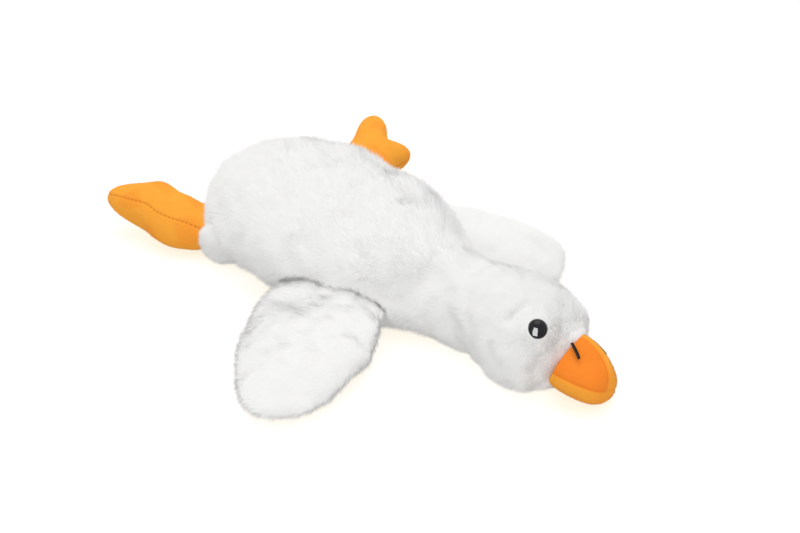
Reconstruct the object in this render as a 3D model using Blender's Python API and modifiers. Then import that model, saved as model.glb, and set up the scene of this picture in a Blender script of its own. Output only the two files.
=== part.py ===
"""A stuffed plush goose that lies on its belly with its neck stretched out.

Metres. +X points to the head, +Y to the goose's left and +Z up. The origin lies on the
resting plane under the middle of the torso. Each soft form is a coarse cage with a
subdivision surface, pressed flat where it rests, and cut back from the piece it is sewn to.
"""

import math

import bmesh
import bpy
import numpy as np
from mathutils import Matrix, Vector

# Torso, the large pillow
TORSO_LENGTH = 0.244
TORSO_WIDTH = 0.164
TORSO_HEIGHT = 0.086
RUMP_WIDTH = 0.128
SHOULDER_WIDTH = 0.124
SHOULDER_HEIGHT = 0.080
SHOULDER_DENT = 0.007
NECK_DENT = 0.003

# Neck and head
NECK_LENGTH = 0.042
NECK_WIDTH = 0.063
NECK_HEIGHT = 0.062
HEAD_LENGTH = 0.090
HEAD_WIDTH = 0.088
HEAD_HEIGHT = 0.076
HEAD_SIDESTEP = 0.003
HEAD_ROLL = math.radians(26)
HEAD_YAW = math.radians(8)
FACE_WIDTH = 0.084
FACE_HEIGHT = 0.054
BELLY_PRESS = 0.004

# Wings, two flat stuffed paddles
WING_LENGTH = 0.160
WING_CHORD = 0.114
RIGHT_WING_TAPER = 0.30
LEFT_WING_TAPER = 0.06
WING_THICKNESS = 0.034
WING_RIM_HEIGHT = 0.010
WING_ROOT_RISE = 0.022
WING_ROOT_INSET = 0.032
WING_ROOT_STATION = 0.052
RIGHT_WING_SWEEP = math.radians(22.5)
LEFT_WING_SWEEP = math.radians(57)
LEFT_WING_TUCK = 0.032

# Thighs, two fur sleeves between the torso and the feet
THIGH_LENGTH = 0.054
THIGH_ROOT_WIDTH = 0.078
THIGH_CUFF_WIDTH = 0.060
THIGH_ROOT_HEIGHT = 0.068
THIGH_CUFF_HEIGHT = 0.056
RIGHT_THIGH_FROM_REAR = 0.076
LEFT_THIGH_FROM_REAR = 0.086
RIGHT_THIGH_INSET = 0.042
LEFT_THIGH_INSET = 0.046
RIGHT_LEG_SPLAY = math.radians(20)
LEFT_LEG_SPLAY = math.radians(80)

# Feet, two webbed pads with three toes each
FOOT_HEEL = 0.042
FOOT_THICKNESS = 0.032
FOOT_RIM_HEIGHT = 0.012
FOOT_IN_CUFF = 0.014
WEB_RADIUS = 0.027
TOE_WIDTH_ANGLE = math.radians(30)
HEEL_WIDTH_ANGLE = math.radians(66)
MIDDLE_TOE = 0.082
SPREAD_TOE = 0.054
TUCKED_TOE = 0.030
TUCKED_TOE_ANGLE = math.radians(42)
RIGHT_TOE_SPREAD = math.radians(36)
LEFT_TOE_SPREAD = math.radians(54)
RIGHT_FOOT_TURN = math.radians(-1)
LEFT_FOOT_TURN = math.radians(-28)
RIGHT_FOOT_ROLL = math.radians(13)
LEFT_FOOT_ROLL = math.radians(6)
FOOT_PITCH = math.radians(8)

# Bill
BILL_LENGTH = 0.036
BILL_BASE_WIDTH = 0.056
BILL_WIDTH = 0.057
BILL_UPPER_HEIGHT = 0.033
BILL_LOWER_HEIGHT = 0.017
BILL_IN_HEAD = 0.020
BILL_YAW = math.radians(1)
MOUTH_CREASE = 0.0026
RIDGE_RISE = 0.0016
NOSTRIL_REACH = 0.012
NOSTRIL_THICKNESS = 0.0026
NOSTRIL_SPREAD = 0.0140
NOSTRIL_SLANT = 0.0045
NOSTRIL_FROM_FACE = -0.003

# Eyes, domed buttons on a stem
EYE_DIAMETER = 0.0150
EYE_DOME = 0.0068
EYE_RIM = 0.0014
EYE_STEM_DIAMETER = 0.0040
EYE_STEM_LENGTH = 0.012
EYE_SEAT_DEPTH = 0.0030
EYE_STATION = 0.052
EYE_YAW = math.radians(67.5)
EYE_PITCH = math.radians(17)

# How the pieces meet and how fine they are
SEWN_GAP = 0.0003
RING_POINTS = 12
WING_POINTS = 18
FOOT_POINTS = 26
PAD_SHARES = (0.52, 0.87)
SOFT_LEVELS = 2
PAD_LEVELS = 1
RING_SQUARENESS = 0.88
SAG_SQUARENESS = 0.70
ROOF_SQUARENESS = 1.35
WING_SQUARENESS = 0.62
WING_ROOT_CURVE = 1.6
TOE_SHARPNESS = 5
FLOOR_REACH = 1.0

# Where the parts follow one another along the goose
REAR_END = -TORSO_LENGTH / 2
NECK_START = TORSO_LENGTH / 2
HEAD_START = NECK_START + NECK_LENGTH
FACE_END = HEAD_START + HEAD_LENGTH

parts = bpy.data.collections.new("plush_goose")
cutters = bpy.data.collections.new("cutters")


def clear_scene():
    for old in list(bpy.data.objects):
        bpy.data.objects.remove(old)
    bpy.context.scene.collection.children.link(parts)
    bpy.context.scene.collection.children.link(cutters)


def finish_material(name, colour, roughness, metallic=0.0):
    """A plain Principled material."""
    made = bpy.data.materials.new(name)
    made.use_nodes = True
    shader = made.node_tree.nodes["Principled BSDF"]
    shader.inputs["Base Color"].default_value = (*colour, 1.0)
    shader.inputs["Roughness"].default_value = roughness
    shader.inputs["Metallic"].default_value = metallic
    made.diffuse_color = (*colour, 1.0)
    return made


def object_from(name, points, faces, group):
    """A mesh object whose normals point outwards."""
    mesh = bpy.data.meshes.new(name)
    mesh.from_pydata([tuple(p) for p in points], [], faces)
    shape = bmesh.new()
    shape.from_mesh(mesh)
    bmesh.ops.recalc_face_normals(shape, faces=shape.faces)
    shape.to_mesh(mesh)
    shape.free()
    mesh.shade_smooth()
    made = bpy.data.objects.new(name, mesh)
    group.objects.link(made)
    return made


def closed_loft(name, rings, first_tip, last_tip, group=parts):
    """A closed cage through rings of equal point counts, ended by a point at each end."""
    count = len(rings[0])
    points = [first_tip, *np.concatenate(rings), last_tip]
    last = len(points) - 1
    faces = []
    for k in range(count):
        after = (k + 1) % count
        faces.append((0, 1 + k, 1 + after))
        for ring in range(len(rings) - 1):
            low = 1 + ring * count
            high = low + count
            faces.append((low + k, high + k, high + after, low + after))
        end = 1 + (len(rings) - 1) * count
        faces.append((end + k, last, end + after))
    return object_from(name, points, faces, group)


def soften(obj, levels):
    """Rounds a cage with a subdivision surface."""
    smooth = obj.modifiers.new("soft form", "SUBSURF")
    smooth.levels = levels
    smooth.render_levels = levels
    return obj


def settled_mesh(obj):
    """The object's mesh with its modifiers worked in."""
    bpy.context.view_layer.update()
    graph = bpy.context.evaluated_depsgraph_get()
    return bpy.data.meshes.new_from_object(obj.evaluated_get(graph), depsgraph=graph)


def as_cutter(obj):
    obj.hide_render = True
    obj.display_type = "WIRE"
    return obj


def grown_copy(obj, gap=SEWN_GAP):
    """A cutter with the object's shape, grown by the gap between sewn pieces."""
    mesh = settled_mesh(obj)
    made = bpy.data.objects.new(obj.name + "_grown", mesh)
    cutters.objects.link(made)
    made.matrix_world = obj.matrix_world
    grow = made.modifiers.new("gap", "DISPLACE")
    grow.strength = gap
    grow.mid_level = 0.0
    return as_cutter(made)


def cut(obj, cutter):
    """Takes the cutter's space out of the object."""
    away = obj.modifiers.new("cut by " + cutter.name, "BOOLEAN")
    away.operation = "DIFFERENCE"
    away.solver = "EXACT"
    away.object = cutter


def floor_cutter():
    """The slab under the resting plane, which presses soft pieces flat."""
    bpy.ops.mesh.primitive_cube_add(size=FLOOR_REACH, location=(0, 0, -FLOOR_REACH / 2))
    made = bpy.context.object
    made.name = "floor"
    for group in list(made.users_collection):
        group.objects.unlink(made)
    cutters.objects.link(made)
    return as_cutter(made)


def cage_ease(count):
    """How much a ring of a cage is enlarged, so that the smoothed ring has its named size."""
    return 6 / (4 + 2 * math.cos(2 * math.pi / count))


def upright_ring(along, side, width, low, high, dent):
    """A rounded ring across the goose at one station, between two heights.

    Its lower half is squarer, where the stuffing sags, and its upper corners are dented.
    """
    turn = (np.arange(RING_POINTS) + 0.5) * 2 * math.pi / RING_POINTS
    squareness = np.where(np.sin(turn) < 0, SAG_SQUARENESS, RING_SQUARENESS)
    across = np.sign(np.cos(turn)) * np.abs(np.cos(turn)) ** squareness
    upward = np.sign(np.sin(turn)) * np.abs(np.sin(turn)) ** squareness
    ease = cage_ease(RING_POINTS)
    inward = dent * np.sin(2 * turn) ** 2 * (np.sin(turn) > 0)
    middle = (low + high) / 2
    ring = np.empty((RING_POINTS, 3))
    ring[:, 0] = along
    ring[:, 1] = side + width / 2 * ease * across - inward * np.cos(turn)
    ring[:, 2] = middle + (high - low) / 2 * ease * upward - inward * np.sin(turn)
    return ring


def head_side(along):
    """How far the neck and head bend to the left at a station."""
    share = min(max((along - NECK_START) / (FACE_END - NECK_START), 0.0), 1.0)
    return HEAD_SIDESTEP * math.sin(share * math.pi / 2)


def make_body():
    """Torso, neck and head, sewn and stuffed as one pillow."""
    half = TORSO_LENGTH / 2
    press = -BELLY_PRESS
    neck_middle = NECK_START + NECK_LENGTH / 2
    rows = (
        (-half * 0.95, RUMP_WIDTH * 0.66, TORSO_HEIGHT * 0.12, TORSO_HEIGHT * 0.78, 0.0),
        (-half * 0.80, RUMP_WIDTH, 0.0, TORSO_HEIGHT * 0.94, 0.0),
        (-half * 0.44, TORSO_WIDTH * 0.98, press, TORSO_HEIGHT * 0.97, 0.0),
        (0.0, TORSO_WIDTH, press, TORSO_HEIGHT, 0.0),
        (half * 0.44, TORSO_WIDTH * 0.94, press, TORSO_HEIGHT * 0.97, 0.0),
        (half * 0.80, SHOULDER_WIDTH, press, SHOULDER_HEIGHT, SHOULDER_DENT),
        (neck_middle, NECK_WIDTH, press, NECK_HEIGHT, NECK_DENT),
        (HEAD_START + HEAD_LENGTH * 0.18, HEAD_WIDTH * 0.94, press, HEAD_HEIGHT * 0.95, 0.0),
        (HEAD_START + HEAD_LENGTH * 0.48, HEAD_WIDTH, press, HEAD_HEIGHT, 0.0),
        (HEAD_START + HEAD_LENGTH * 0.78, FACE_WIDTH, 0.0, (HEAD_HEIGHT + FACE_HEIGHT) / 2, 0.0),
        (HEAD_START + HEAD_LENGTH * 0.93, FACE_WIDTH * 0.66, HEAD_HEIGHT * 0.10, FACE_HEIGHT, 0.0),
    )
    rings = [upright_ring(x, head_side(x), *section) for x, *section in rows]
    rear = (REAR_END, 0.0, TORSO_HEIGHT * 0.43)
    face = (FACE_END, HEAD_SIDESTEP, HEAD_HEIGHT * 0.42)
    return soften(closed_loft("body", rings, rear, face), SOFT_LEVELS)


def pad_cage(name, outline, top, bottom):
    """A sewn pad: rings between its edge seam and its middle, above and below.

    The height over the seam follows a quarter ellipse from the seam to the middle.
    """
    centre = outline.mean(axis=0)
    under = [(-bottom, share) for share in PAD_SHARES]
    over = [(top, share) for share in PAD_SHARES[::-1]]
    rings = []
    for bulge, share in (*under, (0.0, 1.0), *over):
        ring = centre + (outline - centre) * share
        ring[:, 2] += bulge * math.sqrt(1 - share**2)
        rings.append(ring)
    below = centre - (0, 0, bottom)
    above = centre + (0, 0, top)
    return closed_loft(name, rings, below, above)


def placed(points, start, heading):
    """Points of a limb's own frame, along and across, put at a start with a heading."""
    turn = np.array(
        [[math.cos(heading), -math.sin(heading), 0], [math.sin(heading), math.cos(heading), 0], [0, 0, 1]]
    )
    return np.asarray(points) @ turn.T + np.asarray(start)


def wing_outline(side, narrowing):
    """A paddle in its own frame, along +X from its root: an oval whose outer end is narrower."""
    turn = np.arange(WING_POINTS) * 2 * math.pi / WING_POINTS
    along = WING_LENGTH / 2 * (1 + np.cos(turn))
    taper = 1 - narrowing * np.cos(turn)
    across = WING_CHORD / 2 * taper * np.abs(np.sin(turn)) ** WING_SQUARENESS * np.sign(np.sin(turn))
    rise = WING_ROOT_RISE * (1 - along / WING_LENGTH) ** WING_ROOT_CURVE
    return np.stack([along, side * across, WING_RIM_HEIGHT + rise], axis=1)


def make_wing(name, side, sweep, narrowing, tuck):
    """A flat stuffed wing that lies on the floor, swept towards the head."""
    heading = side * (math.pi / 2 - sweep)
    root = np.array([WING_ROOT_STATION, side * (TORSO_WIDTH / 2 - WING_ROOT_INSET), 0.0])
    root = root - tuck * np.array([math.cos(heading), math.sin(heading), 0.0])
    outline = placed(wing_outline(side, narrowing), root, heading)
    top = WING_THICKNESS - WING_RIM_HEIGHT
    bottom = WING_RIM_HEIGHT + BELLY_PRESS
    return soften(pad_cage(name, outline, top, bottom), PAD_LEVELS)


def leg_frame(side, splay):
    """Where a thigh starts inside the torso, and which way the leg points."""
    from_rear, inset = RIGHT_THIGH_FROM_REAR, RIGHT_THIGH_INSET
    if side > 0:
        from_rear, inset = LEFT_THIGH_FROM_REAR, LEFT_THIGH_INSET
    start = np.array([REAR_END + from_rear, side * (TORSO_WIDTH / 2 - inset), 0.0])
    return start, math.pi - side * splay


def make_thigh(name, side, splay):
    """A fur sleeve from the torso to the ankle, open to the foot at its cuff."""
    start, heading = leg_frame(side, splay)
    rows = (
        (0.05, 0.66, 0.74),
        (0.27, 0.96, 0.97),
        (0.58, 1.0, 1.0),
        (0.86, 0.92, 0.90),
        (0.98, 0.66, 0.66),
    )
    turn = np.arange(RING_POINTS) * 2 * math.pi / RING_POINTS
    rings = []
    for share, wide, tall in rows:
        width = (THIGH_ROOT_WIDTH + (THIGH_CUFF_WIDTH - THIGH_ROOT_WIDTH) * share) * wide
        height = (THIGH_ROOT_HEIGHT + (THIGH_CUFF_HEIGHT - THIGH_ROOT_HEIGHT) * share) * tall
        middle = (THIGH_ROOT_HEIGHT + (THIGH_CUFF_HEIGHT - THIGH_ROOT_HEIGHT) * share) / 2 - BELLY_PRESS
        ring = np.empty((RING_POINTS, 3))
        ring[:, 0] = THIGH_LENGTH * share
        ring[:, 1] = width / 2 * np.cos(turn)
        ring[:, 2] = middle + height / 2 * np.sin(turn)
        rings.append(placed(ring, start, heading))
    first = placed([[0.0, 0.0, THIGH_ROOT_HEIGHT / 2]], start, heading)[0]
    last = placed([[THIGH_LENGTH, 0.0, THIGH_CUFF_HEIGHT / 2]], start, heading)[0]
    return soften(closed_loft(name, rings, first, last), PAD_LEVELS)


def foot_outline(spread_toe_angle, tucked_toe_angle):
    """A webbed foot seen from above: a round web with three toes and a heel, as one polar curve.

    Each toe is a bell-shaped bump of the radius, and the curve is a smooth maximum of them.
    """
    turn = (np.arange(FOOT_POINTS) * 2 * math.pi / FOOT_POINTS + math.pi) % (2 * math.pi) - math.pi
    toes = (
        (0.0, MIDDLE_TOE, TOE_WIDTH_ANGLE),
        (spread_toe_angle, SPREAD_TOE, TOE_WIDTH_ANGLE),
        (tucked_toe_angle, TUCKED_TOE, TOE_WIDTH_ANGLE),
        (math.pi, FOOT_HEEL, HEEL_WIDTH_ANGLE),
    )
    total = np.full(FOOT_POINTS, WEB_RADIUS**TOE_SHARPNESS)
    for angle, length, width_angle in toes:
        away = np.angle(np.exp(1j * (turn - angle)))
        total += (length * np.exp(-((away / width_angle) ** 2))) ** TOE_SHARPNESS
    radius = total ** (1 / TOE_SHARPNESS)
    return np.stack([radius * np.cos(turn), radius * np.sin(turn), np.zeros(FOOT_POINTS)], axis=1)


def make_foot(name, side, splay, foot_turn, spread, roll):
    """A padded webbed foot, its heel held in the thigh's cuff.

    Its toes are turned from the leg, it rolls towards its outer edge, and its tip is lifted.
    """
    start, heading = leg_frame(side, splay)
    ankle = start + (THIGH_LENGTH - FOOT_IN_CUFF) * np.array([math.cos(heading), math.sin(heading), 0])
    heading -= side * foot_turn
    outline = foot_outline(spread, -math.copysign(TUCKED_TOE_ANGLE, spread))
    lift = outline[:, 1] * math.sin(roll) * side + (outline[:, 0] + FOOT_HEEL) * math.sin(FOOT_PITCH)
    outline[:, 2] = FOOT_RIM_HEIGHT + lift - lift.min()
    outline[:, 0] += FOOT_HEEL
    outline = placed(outline, ankle, heading)
    top = FOOT_THICKNESS - FOOT_RIM_HEIGHT
    bottom = FOOT_RIM_HEIGHT + BELLY_PRESS
    return soften(pad_cage(name, outline, top, bottom), PAD_LEVELS)


def bill_ring(along, width, up, down, mouth):
    """A ring of the bill: a roof of two panels over a round lower panel.

    It is pulled in along the mouth seam at each side and raised at the ridge.
    """
    count = 16
    turn = np.arange(count) * 2 * math.pi / count
    squareness = np.where(np.sin(turn) > 0, ROOF_SQUARENESS, 1.0)
    across = np.sign(np.cos(turn)) * np.abs(np.cos(turn)) ** squareness
    upward = np.sign(np.sin(turn)) * np.abs(np.sin(turn)) ** squareness
    tall = np.where(upward > 0, up, down)
    at_mouth = np.isclose(upward, 0, atol=0.001)
    at_ridge = np.isclose(turn, math.pi / 2)
    half = width / 2 * cage_ease(count) - MOUTH_CREASE * at_mouth
    ring = np.empty((count, 3))
    ring[:, 0] = along
    ring[:, 1] = half * across
    ring[:, 2] = mouth + tall * cage_ease(count) * upward + RIDGE_RISE * at_ridge
    return ring


def bill_place():
    """Rolls the bill with the head about its mouth, and turns it to the left about the head."""
    pivot = HEAD_START + HEAD_LENGTH / 2
    there = Matrix.Translation((pivot, head_side(pivot), BILL_LOWER_HEIGHT))
    turn = Matrix.Rotation(BILL_YAW, 4, "Z") @ Matrix.Rotation(-HEAD_ROLL, 4, "X")
    return there @ turn @ Matrix.Translation((-pivot, 0.0, -BILL_LOWER_HEIGHT))


def make_bill():
    """The stuffed bill: a tall upper part over a shallow lower one, sewn along the mouth."""
    start = FACE_END - BILL_IN_HEAD
    length = BILL_LENGTH + BILL_IN_HEAD
    mouth = BILL_LOWER_HEIGHT
    rows = (
        (0.0, BILL_BASE_WIDTH * 0.90, 0.92, 0.90),
        (0.22, BILL_BASE_WIDTH, 1.0, 1.0),
        (0.52, BILL_WIDTH, 0.92, 1.04),
        (0.78, BILL_WIDTH * 0.88, 0.68, 1.0),
        (0.94, BILL_WIDTH * 0.58, 0.38, 0.74),
    )
    rings = []
    for share, width, up, down in rows:
        ring = bill_ring(
            start + length * share, width, BILL_UPPER_HEIGHT * up, BILL_LOWER_HEIGHT * down, mouth
        )
        rings.append(ring)
    first = (start - MOUTH_CREASE, 0.0, mouth)
    last = (start + length - MOUTH_CREASE, 0.0, mouth)
    bill = closed_loft("bill", rings, first, last)
    bill.data.transform(bill_place())
    return soften(bill, PAD_LEVELS)


def eye_profile(clearance):
    """Half the section of an eye, from the top of its dome down its outside to the stem's end."""
    radius = EYE_DIAMETER / 2 + clearance
    stem = EYE_STEM_DIAMETER / 2 + clearance
    points = []
    steps = 5
    for k in range(steps + 1):
        turn = math.pi / 2 * k / steps
        points.append((radius * math.sin(turn), EYE_RIM + (EYE_DOME + clearance) * math.cos(turn)))
    points.append((radius, -clearance))
    points.append((stem, -clearance))
    points.append((stem, -EYE_STEM_LENGTH - clearance))
    points.append((0.0, -EYE_STEM_LENGTH - clearance))
    return points


def turned(name, profile, group):
    """A turned solid from a profile that runs down its outer side."""
    mesh = bpy.data.meshes.new(name)
    points = [(x, 0.0, z) for x, z in profile]
    edges = [(k, k + 1) for k in range(len(points) - 1)]
    mesh.from_pydata(points, edges, [])
    made = bpy.data.objects.new(name, mesh)
    group.objects.link(made)
    turn = made.modifiers.new("turned", "SCREW")
    turn.steps = 18
    turn.render_steps = 18
    turn.use_merge_vertices = True
    turn.merge_threshold = 0.00001
    turn.use_smooth_shade = True
    return made


def eye_place(body, side):
    """Where an eye sits: on the head's surface, looking out, up and ahead."""
    outward = Vector(
        (
            math.cos(EYE_YAW) * math.cos(EYE_PITCH),
            side * math.sin(EYE_YAW) * math.cos(EYE_PITCH),
            math.sin(EYE_PITCH),
        )
    )
    outward.rotate(Matrix.Rotation(HEAD_YAW, 3, "Z") @ Matrix.Rotation(-HEAD_ROLL, 3, "X"))
    station = HEAD_START + EYE_STATION
    inside = Vector((station, head_side(station), HEAD_HEIGHT / 2))
    bpy.context.view_layer.update()
    graph = bpy.context.evaluated_depsgraph_get()
    hit, point, _, _ = body.evaluated_get(graph).ray_cast(inside, outward)
    if not hit:
        raise ValueError("an eye's line leaves the head nowhere")
    turn = outward.to_track_quat("Z", "Y").to_matrix().to_4x4()
    return Matrix.Translation(point - EYE_SEAT_DEPTH * outward) @ turn


def make_eye(name, body, side):
    """A domed button eye, whose stem and rim sit in a socket of the head."""
    place = eye_place(body, side)
    eye = turned(name, eye_profile(0.0), parts)
    socket = turned(name + "_socket", eye_profile(SEWN_GAP), cutters)
    eye.matrix_world = place
    socket.matrix_world = place
    cut(body, as_cutter(socket))
    return eye


def make_nostril(name, bill, side):
    """A short bar of thick stitching that lies on the upper bill."""
    bpy.context.view_layer.update()
    graph = bpy.context.evaluated_depsgraph_get()
    surface = bill.evaluated_get(graph)
    place = bill_place()
    downward = place.to_3x3() @ Vector((0, 0, -1))
    radius = NOSTRIL_THICKNESS / 2
    stations = 5
    points = []
    for k in range(stations):
        share = k / (stations - 1)
        along = FACE_END + NOSTRIL_FROM_FACE + NOSTRIL_REACH * share
        across = side * (NOSTRIL_SPREAD + NOSTRIL_SLANT * share)
        above = place @ Vector((along, across, 2 * BILL_UPPER_HEIGHT + BILL_LOWER_HEIGHT))
        hit, point, normal, _ = surface.ray_cast(above, downward)
        if not hit:
            raise ValueError("a nostril lies off the bill")
        points.append(point + normal * (radius + SEWN_GAP * 2))
    data = bpy.data.curves.new(name, "CURVE")
    data.dimensions = "3D"
    data.bevel_depth = radius
    data.bevel_resolution = 2
    data.use_fill_caps = True
    line = data.splines.new("POLY")
    line.points.add(len(points) - 1)
    for spot, point in zip(line.points, points):
        spot.co = (*point, 1.0)
    made = bpy.data.objects.new(name, data)
    parts.objects.link(made)
    return made


def dress(objects, material):
    for obj in objects:
        obj.data.materials.append(material)


def main():
    clear_scene()
    floor = floor_cutter()
    body = make_body()
    plain_body = grown_copy(body)
    cut(body, floor)
    wings = [
        make_wing("right_wing", -1, RIGHT_WING_SWEEP, RIGHT_WING_TAPER, 0.0),
        make_wing("left_wing", 1, LEFT_WING_SWEEP, LEFT_WING_TAPER, LEFT_WING_TUCK),
    ]
    thighs = [
        make_thigh("right_thigh", -1, RIGHT_LEG_SPLAY),
        make_thigh("left_thigh", 1, LEFT_LEG_SPLAY),
    ]
    feet = [
        make_foot("right_foot", -1, RIGHT_LEG_SPLAY, RIGHT_FOOT_TURN, -RIGHT_TOE_SPREAD, RIGHT_FOOT_ROLL),
        make_foot("left_foot", 1, LEFT_LEG_SPLAY, LEFT_FOOT_TURN, -LEFT_TOE_SPREAD, LEFT_FOOT_ROLL),
    ]
    for foot, thigh in zip(feet, thighs):
        cut(foot, grown_copy(thigh))
        cut(foot, plain_body)
    bill = make_bill()
    for soft in (*wings, *thighs, bill):
        cut(soft, plain_body)
    for soft in (*wings, *thighs, *feet, bill):
        cut(soft, floor)
    eyes = [make_eye("right_eye", body, -1), make_eye("left_eye", body, 1)]
    nostrils = [make_nostril("right_nostril", bill, -1), make_nostril("left_nostril", bill, 1)]
    dress((body, *wings, *thighs), finish_material("white fur", (0.90, 0.90, 0.89), 0.95))
    dress((*feet, bill), finish_material("orange plush", (0.98, 0.33, 0.03), 0.90))
    dress(eyes, finish_material("black plastic", (0.01, 0.01, 0.012), 0.12))
    dress(nostrils, finish_material("black thread", (0.012, 0.010, 0.010), 0.80))


main()
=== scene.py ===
"""Dresses the plush goose pillow: stuffed skins, fur pile, seams and stitches, eyes, light and camera.

Run as a script inside Blender. Everything is in metres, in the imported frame: +X points to the
goose's head, +Y to its left and +Z up, and it lies on its belly on the plane z = 0.
"""

import math

import bmesh
import bpy
import numpy as np
from bpy.props import FloatProperty, FloatVectorProperty, IntProperty, PointerProperty
from mathutils import Matrix, Vector
from mathutils.bvhtree import BVHTree


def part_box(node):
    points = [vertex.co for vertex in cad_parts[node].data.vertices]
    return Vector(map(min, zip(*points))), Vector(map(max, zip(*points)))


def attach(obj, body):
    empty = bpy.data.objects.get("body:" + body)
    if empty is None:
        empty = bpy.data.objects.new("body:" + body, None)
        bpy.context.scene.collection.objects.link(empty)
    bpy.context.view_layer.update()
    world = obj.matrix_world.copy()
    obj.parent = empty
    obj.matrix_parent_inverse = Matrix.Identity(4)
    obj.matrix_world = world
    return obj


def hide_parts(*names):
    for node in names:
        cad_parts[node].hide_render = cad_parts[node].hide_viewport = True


bl_info = {
    "name": "Plush goose dresser",
    "version": (1, 0, 0),
    "blender": (4, 5, 0),
    "location": "View3D > Sidebar > Goose",
    "description": "Builds the fur, plush, stitching, eyes and stage of a plush goose pillow",
    "category": "Object",
}

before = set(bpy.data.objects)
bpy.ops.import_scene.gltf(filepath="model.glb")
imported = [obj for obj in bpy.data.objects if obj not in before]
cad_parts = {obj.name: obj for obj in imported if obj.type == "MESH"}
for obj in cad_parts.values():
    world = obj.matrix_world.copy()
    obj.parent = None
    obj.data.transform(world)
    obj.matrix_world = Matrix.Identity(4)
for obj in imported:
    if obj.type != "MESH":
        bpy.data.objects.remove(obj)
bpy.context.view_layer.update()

PHOTO_WIDTH = 800
PHOTO_HEIGHT = 533
REST_HEIGHT = 0.0004
STRAND_COLUMNS = 48

# The pile: how far slow ripples and chance turn and lift a tuft, in radians
TURN_RIPPLE, TURN_CHANCE = 0.16, 0.34
LIFT_RIPPLE, LIFT_CHANCE = 0.04, 0.13
LEAST_TILT, MOST_TILT = 0.1, 1.40
REACH_RANGE = (0.70, 1.12)
ROOT_SUNK = 0.0004
FLATNESS = 0.5
UPWARD_LIGHT = 0.80

# The head lies rolled and turned, and the bill's middle line starts at its pivot
HEAD_START = 0.164
HEAD_ROLL = math.radians(26)
HEAD_YAW = math.radians(8)
BILL_YAW = math.radians(1)
BILL_PIVOT = (0.209, 0.0023, 0.017)
RIDGE_SHIFT = 0.0042
EYE_REACH = 0.0070

# The lamp that the near eye mirrors: its distance from the eye, and its size
CATCH_REACH = 0.065
CATCH_WIDTH = 0.056
CATCH_HEIGHT = 0.120


class GoosePile(bpy.types.PropertyGroup):
    """How long, thick and dense the fur and the plush are."""

    back_length: FloatProperty(
        name="Back pile", description="Fibre length on the torso", default=0.0085, unit="LENGTH"
    )
    head_length: FloatProperty(
        name="Head pile", description="Fibre length on the head and neck", default=0.0062, unit="LENGTH"
    )
    wing_length: FloatProperty(
        name="Wing pile", description="Fibre length on the wings", default=0.0080, unit="LENGTH"
    )
    plush_length: FloatProperty(
        name="Plush pile", description="Fibre length on the feet and bill", default=0.0015, unit="LENGTH"
    )
    strand_width: FloatProperty(
        name="Tuft width", description="Width of a fur tuft at its root", default=0.0007, unit="LENGTH"
    )
    plush_width: FloatProperty(
        name="Plush tuft width", description="Width of a plush tuft at its root",
        default=0.0003, unit="LENGTH",
    )
    wing_lean: FloatProperty(
        name="Wing lean", description="How far the wings' fur leans from upright", default=math.radians(66),
        subtype="ANGLE"
    )
    lean: FloatProperty(
        name="Lean", description="How far the fur leans from upright",
        default=math.radians(52), subtype="ANGLE",
    )
    back_tufts: IntProperty(name="Back tufts", description="Tufts on the torso", default=48000)
    head_tufts: IntProperty(name="Head tufts", description="Tufts on the neck and head", default=40000)
    wing_tufts: IntProperty(name="Wing tufts", description="Tufts on a wing", default=30000)
    thigh_tufts: IntProperty(name="Thigh tufts", description="Tufts on a thigh", default=9000)
    plush_tufts: IntProperty(name="Plush tufts", description="Tufts on a foot or the bill", default=11000)


class GooseSewing(bpy.types.PropertyGroup):
    """Depths, seams and stitches."""

    skin_depth: FloatProperty(
        name="Skin depth", description="How far the cloth lies under the fur's reach",
        default=0.0022, unit="LENGTH",
    )
    plush_depth: FloatProperty(
        name="Plush depth", description="How far the cloth lies under the plush's reach",
        default=0.0009, unit="LENGTH",
    )
    swell: FloatProperty(
        name="Swell", description="Furthest that the stuffing pushes the cloth", default=0.0060, unit="LENGTH"
    )
    fur_line: FloatProperty(
        name="Fur line", description="How far the fur's edge draws back at the sides of the bill",
        default=0.0065,
        unit="LENGTH",
    )
    bill_flare: FloatProperty(
        name="Bill flare", description="How much the stuffing widens the sides of the bill at its root",
        default=0.45,
    )
    head_filling: FloatProperty(
        name="Head filling", description="How much further the head's cloth is filled out", default=0.0022,
        unit="LENGTH",
    )
    seam_depth: FloatProperty(
        name="Seam depth", description="Depth of a seam's groove in the plush", default=0.0006, unit="LENGTH"
    )
    stitch_length: FloatProperty(
        name="Stitch length", description="Length of one stitch", default=0.0022, unit="LENGTH"
    )
    stitch_gap: FloatProperty(
        name="Stitch gap", description="Gap between two stitches", default=0.0018, unit="LENGTH"
    )
    thread_width: FloatProperty(
        name="Thread width", description="Width of the sewing thread", default=0.0005, unit="LENGTH"
    )


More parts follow.
